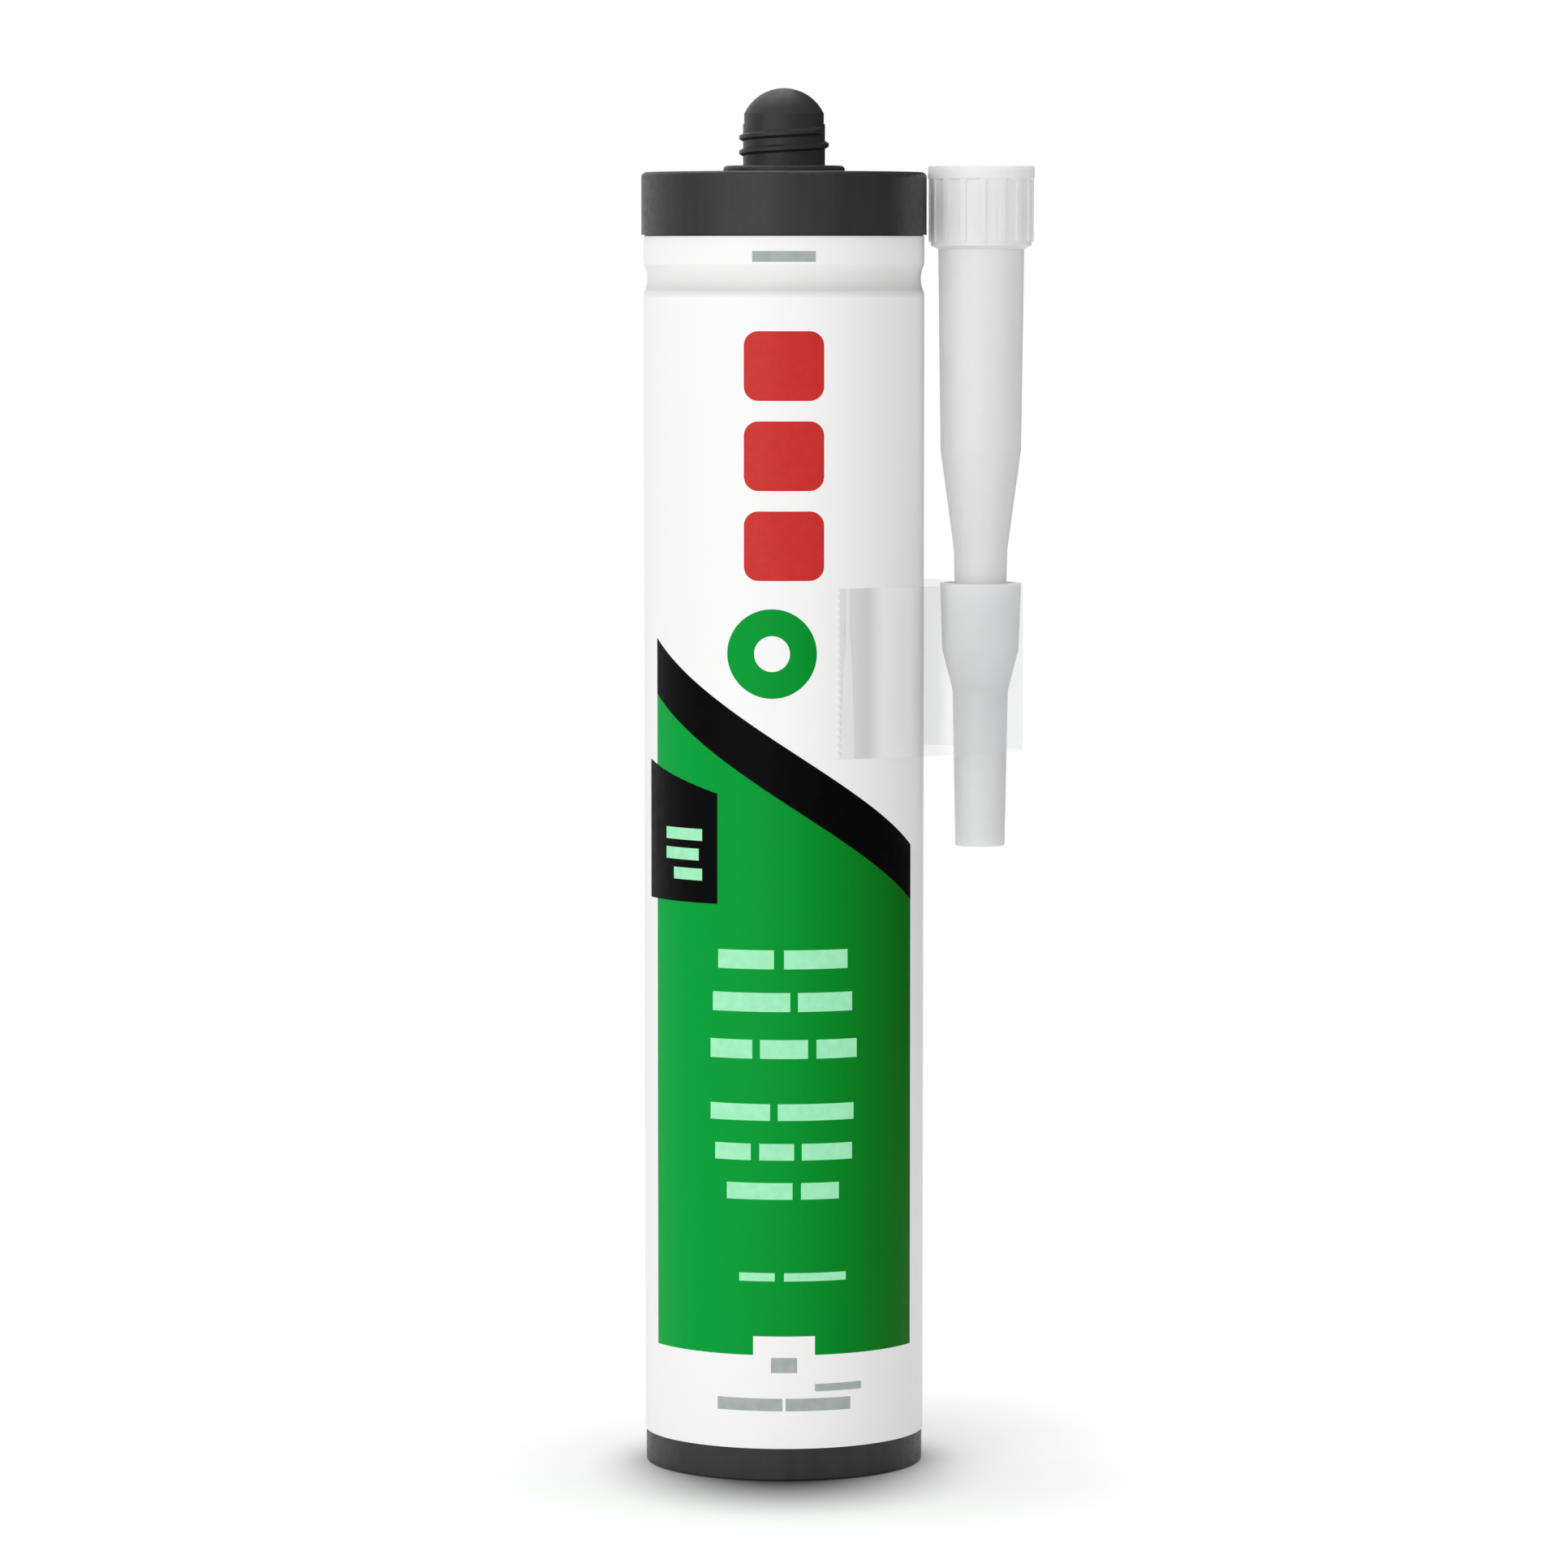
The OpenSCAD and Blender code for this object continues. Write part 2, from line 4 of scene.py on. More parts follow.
import bmesh
import bpy
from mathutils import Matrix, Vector


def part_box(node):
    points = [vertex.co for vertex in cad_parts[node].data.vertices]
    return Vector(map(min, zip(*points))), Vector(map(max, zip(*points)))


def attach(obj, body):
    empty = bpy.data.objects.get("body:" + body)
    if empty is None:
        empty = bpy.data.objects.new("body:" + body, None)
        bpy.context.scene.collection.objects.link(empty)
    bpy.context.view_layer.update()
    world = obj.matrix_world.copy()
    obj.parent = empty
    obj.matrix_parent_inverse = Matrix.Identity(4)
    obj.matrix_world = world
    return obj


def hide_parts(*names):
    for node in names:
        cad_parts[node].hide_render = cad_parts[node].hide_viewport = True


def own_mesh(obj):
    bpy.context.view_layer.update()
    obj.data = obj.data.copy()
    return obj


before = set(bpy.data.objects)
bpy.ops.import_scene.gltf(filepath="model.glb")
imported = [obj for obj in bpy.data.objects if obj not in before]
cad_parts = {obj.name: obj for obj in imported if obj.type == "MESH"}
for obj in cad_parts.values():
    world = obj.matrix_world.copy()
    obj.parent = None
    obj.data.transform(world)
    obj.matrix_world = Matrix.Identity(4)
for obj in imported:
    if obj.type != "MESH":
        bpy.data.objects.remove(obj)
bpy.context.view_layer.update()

# --- Camera ---------------------------------------------------------------------------------
# A long lens on a stand in front of the cartridge. It stands a little lower than the head and is
# tipped down, so that the head's rim shows nearly straight and the foot well curved.
stand_point = Vector((0.0, -1.163, 0.207))
aim_point = Vector((0.0, 0.0, 0.116))
frame_width = 0.2676  # what the frame takes in across the cartridge's axis
sensor = 36.0

camera_data = bpy.data.cameras.new("stand_camera")
camera_data.sensor_width = sensor
camera_data.lens = sensor * (aim_point - stand_point).length / frame_width
camera = bpy.data.objects.new("stand_camera", camera_data)
camera.location = stand_point
camera.rotation_euler = (aim_point - stand_point).to_track_quat("-Z", "Y").to_euler()
bpy.context.scene.collection.objects.link(camera)
bpy.context.scene.camera = camera


# --- Cartridge ------------------------------------------------------------------------------
# Barrel, head and closed threaded neck are one injection moulding in black polyethylene. It is
# satin, with a fine grain from the mould and faint lines where the melt flowed up the barrel.
cartridge_black = (0.027, 0.027, 0.028)
cartridge_streak = (0.034, 0.034, 0.035)


def new_finish(name, colour, roughness):
    """A material with its shader's own colour and roughness, and the place of each point."""
    finish = bpy.data.materials.new(name)
    finish.use_nodes = True
    tree = finish.node_tree
    shader = tree.nodes["Principled BSDF"]
    shader.inputs["Base Color"].default_value = (*colour, 1)
    shader.inputs["Roughness"].default_value = roughness
    place = tree.nodes.new("ShaderNodeTexCoord").outputs["Object"]
    return finish, tree, shader, place


def stretched(tree, place, scale):
    """The same place measured with another scale along each axis."""
    mapping = tree.nodes.new("ShaderNodeMapping")
    mapping.inputs["Scale"].default_value = scale
    tree.links.new(place, mapping.inputs["Vector"])
    return mapping.outputs["Vector"]


def mottle(tree, place, scale, detail=3.0):
    """Noise from 0 to 1 over a place, so many patches to the metre."""
    noise = tree.nodes.new("ShaderNodeTexNoise")
    noise.inputs["Scale"].default_value = scale
    noise.inputs["Detail"].default_value = detail
    tree.links.new(place, noise.inputs["Vector"])
    return noise.outputs["Fac"]


def spread(tree, value, low, high, socket):
    """Sends noise, which seldom leaves 0.3 to 0.7, to a shader's socket as a range of its own."""
    between = tree.nodes.new("ShaderNodeMapRange")
    between.inputs["From Min"].default_value = 0.3
    between.inputs["From Max"].default_value = 0.7
    between.inputs["To Min"].default_value = low
    between.inputs["To Max"].default_value = high
    tree.links.new(value, between.inputs["Value"])
    tree.links.new(between.outputs["Result"], socket)


def tint(tree, value, colour_low, colour_high, socket):
    """Sends noise to a colour socket as a blend of two colours."""
    ramp = tree.nodes.new("ShaderNodeValToRGB")
    ramp.color_ramp.elements[0].position = 0.35
    ramp.color_ramp.elements[0].color = (*colour_low, 1)
    ramp.color_ramp.elements[1].position = 0.65
    ramp.color_ramp.elements[1].color = (*colour_high, 1)
    tree.links.new(value, ramp.inputs["Fac"])
    tree.links.new(ramp.outputs["Color"], socket)


def relief(tree, shader, heights):
    """Bumps in metres, one over the other: each is a 0 to 1 value and its full height."""
    last = None
    for value, height in heights:
        bump = tree.nodes.new("ShaderNodeBump")
        bump.inputs["Distance"].default_value = height
        tree.links.new(value, bump.inputs["Height"])
        if last:
            tree.links.new(last.outputs["Normal"], bump.inputs["Normal"])
        last = bump
    tree.links.new(last.outputs["Normal"], shader.inputs["Normal"])


def dress(node, finish):
    """Gives a solid of the frame one finish all over."""
    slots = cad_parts[node].data.materials
    slots.clear()
    slots.append(finish)


moulded_black, tree, shader, place = new_finish("moulded_black", cartridge_black, roughness=0.46)
shader.inputs["Specular IOR Level"].default_value = 0.3
flow = mottle(tree, stretched(tree, place, (1, 1, 0.12)), 260)
tint(tree, flow, cartridge_black, cartridge_streak, shader.inputs["Base Color"])
spread(tree, mottle(tree, place, 900), 0.38, 0.5, shader.inputs["Roughness"])
relief(tree, shader, [(mottle(tree, place, 5200, 2), 0.000012), (flow, 0.00002)])
dress("cartridge", moulded_black)


# --- Piston ---------------------------------------------------------------------------------
# The piston is moulded in natural polyethylene, a cream white that lets a little light in. Its
# two lips rub on the barrel, and the webs under its crown show faint flow lines.
piston_cream = (0.80, 0.785, 0.72)
piston_shade = (0.72, 0.70, 0.62)

moulded_cream, tree, shader, place = new_finish("moulded_cream", piston_cream, roughness=0.46)
shader.inputs["Subsurface Weight"].default_value = 0.25
shader.inputs["Subsurface Radius"].default_value = (1.0, 0.9, 0.7)
shader.inputs["Subsurface Scale"].default_value = 0.0012
tint(tree, mottle(tree, place, 180), piston_shade, piston_cream, shader.inputs["Base Color"])
relief(tree, shader, [(mottle(tree, place, 3600, 2), 0.000014)])
dress("piston", moulded_cream)


# --- Sealant --------------------------------------------------------------------------------
# The filling is a stiff white paste that was pumped in at the open end. It takes the barrel's
# shape, with a slightly uneven skin at the piston, and shortens towards the head in use.
sealant_white = (0.86, 0.85, 0.80)
sealant_shade = (0.83, 0.82, 0.77)
sealant_steps_round = 96
sealant_rings = 28
skin_dent, side_dent = 0.00035, 0.000042
fold_count = 5
paste_corner, paste_round = 0.0001, 0.001  # at the piston and at the head
round_steps = 6

paste_low, paste_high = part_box("sealant")
paste_r = paste_high.x


def turned(name, profile, steps, closed=True):
    """A mesh turned about the Z axis from (radius, height) points, from foot to top."""
    points, faces = [], []
    for r, z in profile:
        for i in range(steps):
            a = 2 * math.pi * i / steps
            points.append((r * math.cos(a), r * math.sin(a), z))
    for j in range(len(profile) - 1):
        for i in range(steps):
            k = (i + 1) % steps
            faces.append((j * steps + i, j * steps + k, (j + 1) * steps + k, (j + 1) * steps + i))
    if closed:
        faces.append(tuple(reversed(range(steps))))
        faces.append(tuple(range(len(points) - steps, len(points))))
    return new_piece(name, points, faces)


def new_piece(name, points, faces, smooth=True):
    """A mesh object in the frame, made from points in metres and their faces."""
    mesh = bpy.data.meshes.new(name)
    mesh.from_pydata([tuple(p) for p in points], [], faces)
    mesh.validate()
    mesh.update()
    if smooth:
        mesh.shade_smooth()
    piece = bpy.data.objects.new(name, mesh)
    bpy.context.scene.collection.objects.link(piece)
    return piece


inner_shares = [0.12, 0.3, 0.5, 0.7, 0.86, 0.95]
paste_profile = [(paste_r * share, paste_low.z) for share in inner_shares]
paste_profile.append((paste_r - paste_corner, paste_low.z))
for i in range(sealant_rings + 1):
    share = i / sealant_rings
    paste_profile.append((paste_r, paste_low.z + paste_corner
                          + share * (paste_high.z - paste_low.z - paste_round - paste_corner)))
for i in range(1, round_steps + 1):
    a = math.pi / 2 * i / round_steps
    paste_profile.append((paste_r - paste_round * (1 - math.cos(a)),
                          paste_high.z - paste_round * (1 - math.sin(a))))
paste_profile += [(paste_r * share, paste_high.z) for share in reversed(inner_shares)]
sealant_paste = turned("sealant_paste", paste_profile, sealant_steps_round)

draw = random.Random(7)
folds = [(draw.uniform(2, 5), draw.uniform(60, 160), draw.uniform(0, 2 * math.pi))
         for _ in range(fold_count)]
for point in sealant_paste.data.vertices:
    a = math.atan2(point.co.y, point.co.x)
    dent = sum(0.5 + 0.5 * math.sin(round(n) * a + k * point.co.z + p)
               for n, k, p in folds) / fold_count
    r = math.hypot(point.co.x, point.co.y)
    if r > paste_r * 0.9 and point.co.z < paste_high.z - paste_round:
        shrink = 1 - side_dent * dent / r
        point.co.x *= shrink
        point.co.y *= shrink
    if point.co.z < paste_low.z + paste_corner / 2:
        point.co.z += skin_dent * dent

paste_finish, tree, shader, place = new_finish("paste_finish", sealant_white, roughness=0.38)
shader.inputs["Subsurface Weight"].default_value = 0.2
shader.inputs["Subsurface Scale"].default_value = 0.0015
shader.inputs["Sheen Weight"].default_value = 0.05
tint(tree, mottle(tree, place, 120), sealant_shade, sealant_white, shader.inputs["Base Color"])
relief(tree, shader, [(mottle(tree, place, 420), 0.00012)])
sealant_paste.data.materials.append(paste_finish)

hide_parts("sealant")
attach(sealant_paste, "barrel")
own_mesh(sealant_paste)


# --- Wrap label and its inks ----------------------------------------------------------------
# A white film wrap is printed in five inks and stretched round the barrel, where it follows the
# ring groove. Film and inks share one thin varnish, so all of them have much the same soft gloss.
film_white = (0.905, 0.905, 0.9)
film_roughness = 0.42


def varnished(name, colour, other_colour=None, gloss=0.25):
    """Printed film under varnish with a faint orange peel, mottled if it has another colour."""
    finish, tree, shader, place = new_finish(name, colour, film_roughness)
    shader.inputs["Specular IOR Level"].default_value = gloss
    if other_colour:
        tint(tree, mottle(tree, place, 700), other_colour, colour, shader.inputs["Base Color"])
    spread(tree, mottle(tree, place, 500), film_roughness - 0.04, film_roughness + 0.06,
           shader.inputs["Roughness"])
    relief(tree, shader, [
        (mottle(tree, stretched(tree, place, (1, 1, 0.2)), 240, 1), 0.00003),
        (mottle(tree, place, 1500, 1), 0.000012)])
    return finish


def ramp_along(tree, coordinate, low, high, stops, socket):
    """Sends a colour to a socket by a coordinate: stops are places from low to high and colours."""
    share = tree.nodes.new("ShaderNodeMapRange")
    share.inputs["From Min"].default_value = low
    share.inputs["From Max"].default_value = high
    tree.links.new(coordinate, share.inputs["Value"])
    ramp = tree.nodes.new("ShaderNodeValToRGB")
    ramp.color_ramp.elements[0].color = (*stops[0][1], 1)
    ramp.color_ramp.elements[1].color = (*stops[-1][1], 1)
    for position, colour in stops[1:-1]:
        ramp.color_ramp.elements.new(position).color = (*colour, 1)
    tree.links.new(share.outputs["Result"], ramp.inputs["Fac"])
    tree.links.new(ramp.outputs["Color"], socket)


def parts_of_place(tree):
    """The place of each point as separate X, Y and Z."""
    parts = tree.nodes.new("ShaderNodeSeparateXYZ")
    tree.links.new(tree.nodes["Texture Coordinate"].outputs["Object"], parts.inputs["Vector"])
    return parts.outputs


# Across the ring groove the film is painted darker, as painted shade in the recess, deepest in its
# lower half
groove_low, groove_high = 0.1983, 0.2057
groove_shade_deep = (0.63, 0.63, 0.625)
groove_shade_mid = (0.79, 0.79, 0.785)
white_film = varnished("white_film", film_white)
tree = white_film.node_tree
ramp_along(tree, parts_of_place(tree)["Z"], groove_low, groove_high,
           [(0.0, film_white), (0.08, film_white), (0.26, groove_shade_deep), (0.5, groove_shade_mid),
            (0.8, film_white), (1.0, film_white)],
           tree.nodes["Principled BSDF"].inputs["Base Color"])
dress("label", white_film)

# The film is white right through. Its inner layer is one plain sleeve, which closes the wrap
# where the printed face dips between two red blocks
layer_out, layer_in = 0.02366, 0.02364
layer_low, layer_high = 0.0066, 0.195
layer_steps_round = 360
crisp_angle = math.radians(30)
inner_layer = turned("wrap_inner_layer", [
    (layer_out, layer_low), (layer_out, layer_high), (layer_in, layer_high),
    (layer_in, layer_low), (layer_out, layer_low)], layer_steps_round, closed=False)
weld = bmesh.new()
weld.from_mesh(inner_layer.data)
bmesh.ops.remove_doubles(weld, verts=weld.verts, dist=1e-6)
weld.to_mesh(inner_layer.data)
weld.free()
inner_layer.data.set_sharp_from_angle(angle=crisp_angle)
inner_layer.data.materials.append(white_film)
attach(inner_layer, "barrel")

# Each ink but the green is one colour with a slight mottle. Black is the dullest of them
black, black_mottle = (0.001, 0.001, 0.0012), (0.0015, 0.0015, 0.0018)
red, red_mottle = (0.60, 0.022, 0.016), (0.56, 0.019, 0.014)
pale, pale_mottle = (0.38, 0.87, 0.53), (0.33, 0.82, 0.48)
grey, grey_mottle = (0.40, 0.45, 0.43), (0.35, 0.40, 0.38)

black_ink = varnished("black_ink", black, black_mottle, gloss=0.05)
dress("print_black", black_ink)
dress("print_red", varnished("red_ink", red, red_mottle))
dress("print_pale", varnished("pale_ink", pale, pale_mottle))
dress("print_grey", varnished("grey_ink", grey, grey_mottle))

# The dark stripe's ink lies over the film as one thin coat, clean along both of its edges
stripe_half = math.radians(64)
stripe_high = 0.0094
stripe_under, stripe_over = 0.02375, 0.023815  # radii within the film and just over it
stripe_steps = 128

ink_low, ink_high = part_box("print_black")
stripe_middle = (ink_low.z + ink_high.z) / 2
stripe_drop = ink_high.z - ink_low.z - stripe_high
stripe_points, stripe_faces = [], [(0, 1, 2, 3)]
for i in range(stripe_steps + 1):
    across = 2 * i / stripe_steps - 1
    a = stripe_half * across
    low = stripe_middle - stripe_drop * across / 2 - stripe_high / 2
    for r, z in ((stripe_under, low), (stripe_over, low), (stripe_over, low + stripe_high),
                 (stripe_under, low + stripe_high)):
        stripe_points.append((r * math.sin(a), -r * math.cos(a), z))
for i in range(stripe_steps):
    for k in range(4):
        a, b = 4 * i + k, 4 * i + (k + 1) % 4
        stripe_faces.append((b, a, a + 4, b + 4))
stripe_faces.append(tuple(4 * stripe_steps + k for k in (3, 2, 1, 0)))
stripe_ink = new_piece("stripe_ink", stripe_points, stripe_faces)
stripe_ink.data.set_sharp_from_angle(angle=crisp_angle)
stripe_ink.data.materials.append(black_ink)
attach(stripe_ink, "barrel")

# The green ink runs from bluish at the left to a deeper, yellower green at the right: painted shade
# on the side turned from the left lamp
green_painted_shade = [(0.0, (0.001, 0.36, 0.048)), (0.5, (0.0005, 0.295, 0.03)),
               (0.85, (0.0005, 0.20, 0.01)), (1.0, (0.0005, 0.14, 0.004))]
green_half = 0.021
green_ink = varnished("green_ink", green_painted_shade[1][1], gloss=0.06)
tree = green_ink.node_tree
ramp_along(tree, parts_of_place(tree)["X"], -green_half, green_half, green_painted_shade,
           tree.nodes["Principled BSDF"].inputs["Base Color"])
dress("print_green", green_ink)


# --- Nozzle ---------------------------------------------------------------------------------
# The nozzle is moulded thin in natural polyethylene, so light passes through it, and screws on
# the neck by the thread inside its ribbed collar. Here it waits beside the barrel, base up.
nozzle_clear = (0.99, 0.992, 0.99)


def see_through(name, colour, roughness, clearness, spread_out, grain, body):
    """Natural polyethylene: milky, with light through it, a satin skin and drawn lines."""
    finish, tree, shader, place = new_finish(name, colour, roughness)
    shader.inputs["IOR"].default_value = 1.51
    shader.inputs["Transmission Weight"].default_value = clearness
    shader.inputs["Subsurface Weight"].default_value = 0.6
    shader.inputs["Subsurface Radius"].default_value = (1.0, 1.0, 1.0)
    shader.inputs["Subsurface Scale"].default_value = spread_out
    shader.inputs["Alpha"].default_value = body
    draw_lines = mottle(tree, stretched(tree, place, (1, 1, 0.04)), 900, 2)
    spread(tree, mottle(tree, place, 350), roughness - 0.05, roughness + 0.07,
           shader.inputs["Roughness"])
    tint(tree, mottle(tree, place, 140), tuple(c * 0.975 for c in colour), colour,
         shader.inputs["Base Color"])
    relief(tree, shader, [(draw_lines, 0.000012), (mottle(tree, place, 4000, 1), grain)])
    return finish


dress("nozzle", see_through("natural_nozzle", nozzle_clear, roughness=0.36, clearness=0.06,
                            spread_out=0.0022, grain=0.000008, body=0.76))


# --- Tip cap --------------------------------------------------------------------------------
# A soft cap with a flared mouth is pushed over the nozzle's tip, to keep an opened cartridge
# fresh. It is the same natural polyethylene, a little thicker at the mouth.
cap_clear = (0.97, 0.975, 0.985)

dress("nozzle_cap", see_through("natural_cap", cap_clear, roughness=0.4, clearness=0.06,
                                spread_out=0.0018, grain=0.00001, body=0.82))


# --- Holding tape ---------------------------------------------------------------------------
# One length of thin clear tape runs from the barrel, round the cap and back, and holds the nozzle.
# Its ends are cut by a toothed blade and its free stretches have slight waves. Along its path it is
# painted in lighter and darker streaks: painted highlights and painted dark reflections.
tape_clear = (0.86, 0.89, 0.91)
film_thick = 0.00006
film_lift = 0.00002  # clear of the wrap
stuck_angle = math.radians(8)
tooth_depth, tooth_count = 0.0006, 22
wave_height = 0.00022
waves = [(0.3, 900, 130), (0.2, 1700, -310)]  # share, and turns along and across in radians a metre
film_step = 0.0008
solid_thick = 0.0002  # of the tape's CAD solid

tape_low, tape_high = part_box("holding_tape")
wrap_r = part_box("label")[1].y
nozzle_low, nozzle_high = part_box("nozzle")
loop_x = (nozzle_low.x + nozzle_high.x) / 2
loop_r = tape_high.x - loop_x - solid_thick
leave = math.acos((wrap_r - loop_r) / loop_x)


def bend(x, r, start, end):
    """Points on an arc about (x, 0), each with its outward direction and how freely it waves."""
    steps = max(2, round(r * abs(end - start) / film_step))
    angles = [start + (end - start) * i / steps for i in range(steps + 1)]
    return [(x + r * math.cos(a), r * math.sin(a), math.cos(a), math.sin(a), 0.0) for a in angles]


def free_stretch(first, last):
    """Points between the ends of two arcs, where nothing backs the tape."""
    steps = round(math.dist(first[:2], last[:2]) / film_step)
    shares = [i / steps for i in range(1, steps)]
    return [(first[0] + (last[0] - first[0]) * t, first[1] + (last[1] - first[1]) * t,
             first[2], first[3], math.sin(math.pi * t) ** 2) for t in shares]


stuck_front = bend(0, wrap_r, -leave - stuck_angle, -leave)
loop = bend(loop_x, loop_r, -leave, leave)
stuck_back = bend(0, wrap_r, leave, leave + stuck_angle)
line = (stuck_front + free_stretch(stuck_front[-1], loop[0]) + loop
        + free_stretch(loop[-1], stuck_back[0]) + stuck_back)

columns = 2 * tooth_count
rows, width = len(line), columns + 1
film_points, film_faces = [], []
for side in (film_lift, film_lift + film_thick):
    for i, (x, y, out_x, out_y, free) in enumerate(line):
        for j in range(width):
            z = tape_low.z + (tape_high.z - tape_low.z) * j / columns
            wave = 0.5 + sum(share * math.sin(along * x + across * z)
                             for share, along, across in waves)
            out = side + wave_height * free * wave
            point = [x + out_x * out, y + out_y * out, z]
            if i in (0, rows - 1) and j % 2:
                tooth = tooth_depth if i == 0 else -tooth_depth
                point[0] -= out_y * tooth
                point[1] += out_x * tooth
            film_points.append(point)
outside = rows * width
for i in range(rows - 1):
    for j in range(columns):
        a = i * width + j
        inner = (a, a + 1, a + width + 1, a + width)
        film_faces.append(inner)
        film_faces.append(tuple(k + outside for k in reversed(inner)))
border = ([j for j in range(width)] + [i * width + columns for i in range(1, rows)]
          + [(rows - 1) * width + j for j in range(columns - 1, -1, -1)]
          + [i * width for i in range(rows - 2, 0, -1)])
for a, b in zip(border, border[1:] + border[:1]):
    film_faces.append((a + outside, b + outside, b, a))
tape_film = new_piece("tape_film", film_points, film_faces)

clear_film, tree, shader, place = new_finish("clear_film", tape_clear, roughness=0.16)
shader.inputs["IOR"].default_value = 1.48
shader.inputs["Alpha"].default_value = 0.085
# Painted highlights (the white stops) and painted dark reflections, laid along the tape by X
tape_painted_reflections = [(0.0, (0.5, 0.53, 0.55)), (0.17, (0.1, 0.11, 0.12)), (0.25, (1.0, 1.0, 1.0)),
                (0.4, (1.0, 1.0, 1.0)), (0.46, (0.15, 0.16, 0.17)), (0.55, (0.25, 0.27, 0.29)),
                (0.62, (1.0, 1.0, 1.0)), (0.7, (0.7, 0.73, 0.75)), (0.84, (0.75, 0.78, 0.8)),
                (1.0, (0.9, 0.92, 0.94))]
reflections_from, reflections_to = 0.0088, 0.0400
ramp_along(tree, parts_of_place(tree)["X"], reflections_from, reflections_to, tape_painted_reflections,
           shader.inputs["Base Color"])
relief(tree, shader, [(mottle(tree, stretched(tree, place, (1, 1, 0.25)), 160, 2), 0.00008)])
tape_film.data.materials.append(clear_film)
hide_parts("holding_tape")
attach(tape_film, "barrel")


# --- Floor ----------------------------------------------------------------------------------
# A white sweep: the eye sees it lit up to plain white, and it keeps the cartridge's shadow. Round
# the front of the foot the eye also sees it darker, where the room's light hardly reaches.
floor_half = 2.0
floor_level = -0.0001
floor_white = (0.7, 0.7, 0.7)
floor_seen = (1.0, 1.0, 1.0)
floor_glow = 0.06
contact_place = (0, 0.012, 0)
contact_stretch = (1.4, 1, 1)
contact_near, contact_far = 0.002, 0.05
halo_near, halo_far, halo_shade = 0.02, 0.09, 0.16  # a wider and fainter shade round it

floor = new_piece("white_sweep", [(-floor_half, -floor_half, floor_level),
                                  (floor_half, -floor_half, floor_level),
                                  (floor_half, floor_half, floor_level),
                                  (-floor_half, floor_half, floor_level)], [(0, 1, 2, 3)],
                  smooth=False)
sweep, tree, shader, place = new_finish("white_sweep", floor_white, roughness=0.9)
shader.inputs["Specular IOR Level"].default_value = 0.0


def seen_rays(tree):
    """1 for the rays that show the background: the eye's, those in gloss, those through glass."""
    rays = tree.nodes.new("ShaderNodeLightPath").outputs
    total = rays["Is Camera Ray"]
    for name in ("Is Glossy Ray", "Is Transmission Ray"):
        total = reckoned(tree, "MAXIMUM", total, rays[name])
    return total


def reckoned(tree, operation, first, second):
    """One step of arithmetic on two values, each a socket or a number."""
    step = tree.nodes.new("ShaderNodeMath")
    step.operation = operation
    for value, socket in ((first, step.inputs[0]), (second, step.inputs[1])):
        if isinstance(value, float):
            socket.default_value = value
        else:
            tree.links.new(value, socket)
    return step.outputs["Value"]


def by_distance(tree, place, near, far):
    """Rises from 0 to 1 between two distances from the middle of a place."""
    distance = tree.nodes.new("ShaderNodeVectorMath")
    distance.operation = "LENGTH"
    tree.links.new(place, distance.inputs[0])
    rise = tree.nodes.new("ShaderNodeMapRange")
    rise.interpolation_type = "SMOOTHSTEP"
    rise.inputs["From Min"].default_value = near
    rise.inputs["From Max"].default_value = far
    tree.links.new(distance.outputs["Value"], rise.inputs["Value"])
    return rise.outputs["Result"]


def mixed_colour(tree, share, colour_low, colour_high):
    """A blend of two colours, each a socket or three numbers."""
    mix = tree.nodes.new("ShaderNodeMix")
    mix.data_type = "RGBA"
    tree.links.new(share, mix.inputs["Factor"])
    # A mix of colours has its sockets after those for numbers and vectors
    for value, socket in ((colour_low, mix.inputs[6]), (colour_high, mix.inputs[7])):
        if isinstance(value, tuple):
            socket.default_value = (*value, 1)
        else:
            tree.links.new(value, socket)
    return mix.outputs[2]


seen = seen_rays(tree)
contact = tree.nodes.new("ShaderNodeMapping")
contact.inputs["Location"].default_value = contact_place
contact.inputs["Scale"].default_value = contact_stretch
tree.links.new(place, contact.inputs["Vector"])
open_floor = by_distance(tree, contact.outputs["Vector"], contact_near, contact_far)
halo = reckoned(tree, "MULTIPLY", by_distance(tree, place, halo_near, halo_far), halo_shade)
open_floor = reckoned(tree, "MULTIPLY", open_floor, reckoned(tree, "ADD", halo, 1 - halo_shade))
eye_colour = mixed_colour(tree, open_floor, (0.0, 0.0, 0.0), floor_seen)
tree.links.new(mixed_colour(tree, seen, floor_white, eye_colour), shader.inputs["Base Color"])

glow = tree.nodes.new("ShaderNodeEmission")
glow.inputs["Color"].default_value = (1, 1, 1, 1)
tree.links.new(reckoned(tree, "MULTIPLY", reckoned(tree, "MULTIPLY", seen, open_floor), floor_glow),
               glow.inputs["Strength"])
both = tree.nodes.new("ShaderNodeAddShader")
tree.links.new(shader.outputs["BSDF"], both.inputs[0])
tree.links.new(glow.outputs["Emission"], both.inputs[1])

# Further out, past the lamps' reach, the sweep shows as plain white
sweep_near, sweep_far = 0.16, 0.42
plain = tree.nodes.new("ShaderNodeEmission")
plain.inputs["Color"].default_value = (1, 1, 1, 1)
blend = tree.nodes.new("ShaderNodeMixShader")
tree.links.new(reckoned(tree, "MULTIPLY", by_distance(tree, place, sweep_near, sweep_far), seen),
               blend.inputs["Fac"])
tree.links.new(both.outputs["Shader"], blend.inputs[1])
tree.links.new(plain.outputs["Emission"], blend.inputs[2])
tree.links.new(blend.outputs["Shader"], tree.nodes["Material Output"].inputs["Surface"])
floor.data.materials.append(sweep)


# --- Lamps and dark card --------------------------------------------------------------------
# A large soft lamp stands at the left in front, a weak one at the right and one overhead. A dark
# card at the right, out of the camera's sight, darkens that side of the gloss.
lamp_aim = Vector((0, 0, 0.12))


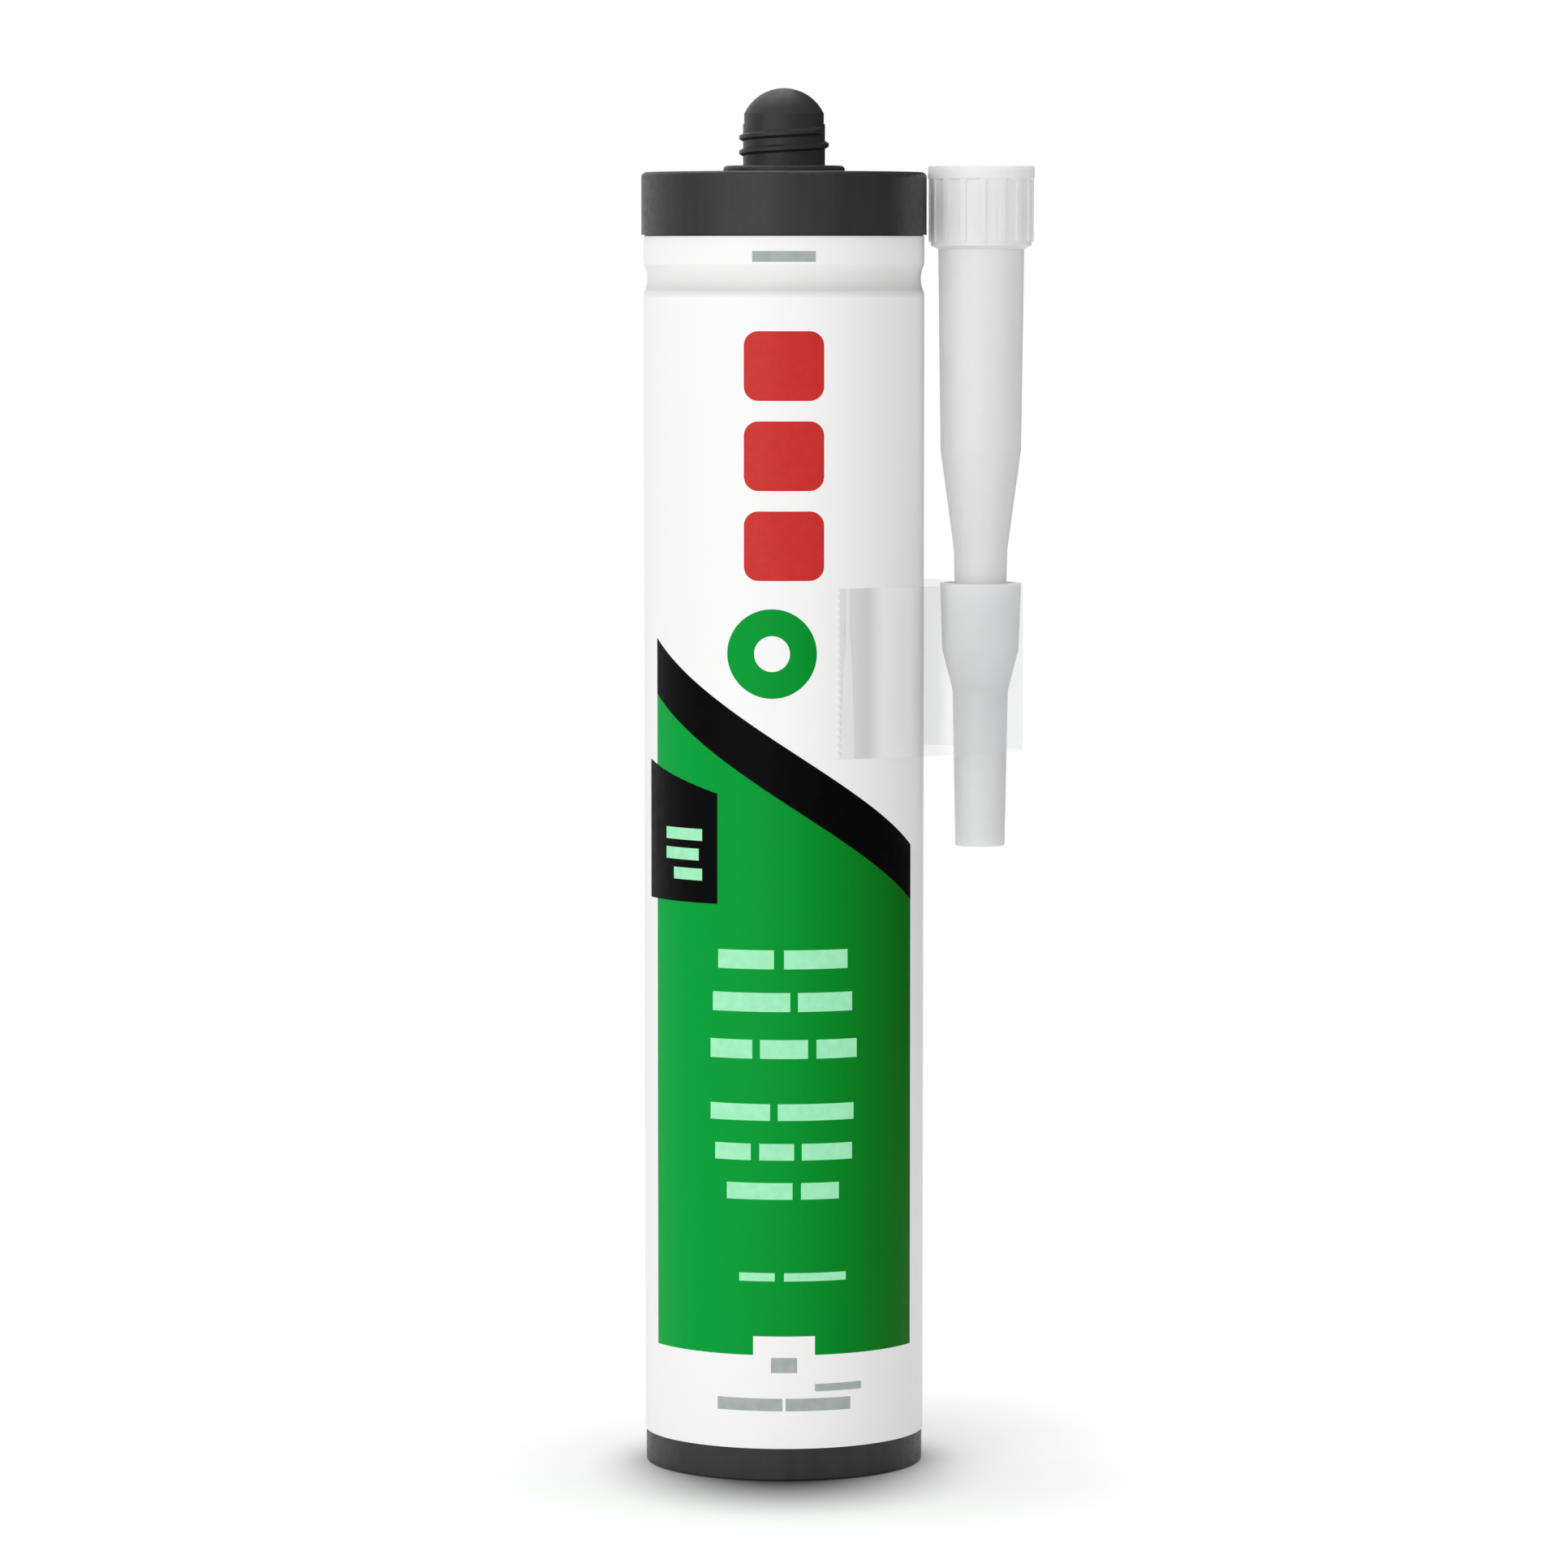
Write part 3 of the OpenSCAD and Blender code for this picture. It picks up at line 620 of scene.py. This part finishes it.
def soft_lamp(name, place, size, power):
    """An area lamp, turned to the middle of the cartridge."""
    light = bpy.data.lights.new(name, "AREA")
    light.shape = "RECTANGLE"
    light.size, light.size_y = size
    light.energy = power
    lamp = bpy.data.objects.new(name, light)
    lamp.location = place
    lamp.rotation_euler = (lamp_aim - Vector(place)).to_track_quat("-Z", "Y").to_euler()
    bpy.context.scene.collection.objects.link(lamp)


soft_lamp("left_lamp", place=(-0.85, -1.5, 0.8), size=(1.6, 1.6), power=15.6)
soft_lamp("right_lamp", place=(1.3, -1.0, 0.7), size=(1.2, 1.2), power=1.0)
soft_lamp("top_lamp", place=(-0.1, 0.3, 1.4), size=(1.2, 1.2), power=7)

card_x, card_front, card_back, card_high = 0.34, -0.6, 3.0, 1.8
card_black = (0.03, 0.03, 0.03)
card = new_piece("dark_card", [(card_x, card_front, 0), (card_x, card_back, 0),
                               (card_x, card_back, card_high), (card_x, card_front, card_high)],
                 [(0, 1, 2, 3)], smooth=False)
dark_card, tree, shader, place = new_finish("dark_card", card_black, roughness=0.9)
card.data.materials.append(dark_card)
card.visible_camera = False
card.visible_diffuse = False
card.visible_shadow = False

# The room is plain white. In gloss it shows dark on the camera's side and white behind
room_light = 0.64
dark_front = 0.12
dark_until, white_from = -0.1, 0.4

world = bpy.data.worlds.new("white_room")
world.use_nodes = True
bpy.context.scene.world = world
tree = world.node_tree

rays = tree.nodes.new("ShaderNodeLightPath").outputs
direction = tree.nodes.new("ShaderNodeSeparateXYZ")
tree.links.new(tree.nodes.new("ShaderNodeTexCoord").outputs["Generated"],
               direction.inputs["Vector"])
in_gloss = tree.nodes.new("ShaderNodeMapRange")
in_gloss.inputs["From Min"].default_value = dark_until
in_gloss.inputs["From Max"].default_value = white_from
in_gloss.inputs["To Min"].default_value = dark_front
tree.links.new(direction.outputs["Y"], in_gloss.inputs["Value"])


def chosen(tree, ray, other, strength):
    """One strength for a kind of ray, and another for the rest: each a socket or a number."""
    pick = tree.nodes.new("ShaderNodeMix")
    tree.links.new(ray, pick.inputs["Factor"])
    for value, socket in ((other, pick.inputs["A"]), (strength, pick.inputs["B"])):
        if isinstance(value, float):
            socket.default_value = value
        else:
            tree.links.new(value, socket)
    return pick.outputs["Result"]


strength = chosen(tree, rays["Is Glossy Ray"], room_light, in_gloss.outputs["Result"])
strength = chosen(tree, rays["Is Transmission Ray"], strength, 1.0)
strength = chosen(tree, rays["Is Camera Ray"], strength, 1.0)
background = tree.nodes["Background"]
background.inputs["Color"].default_value = (1, 1, 1, 1)
tree.links.new(strength, background.inputs["Strength"])
bpy.context.scene.view_settings.view_transform = "Standard"
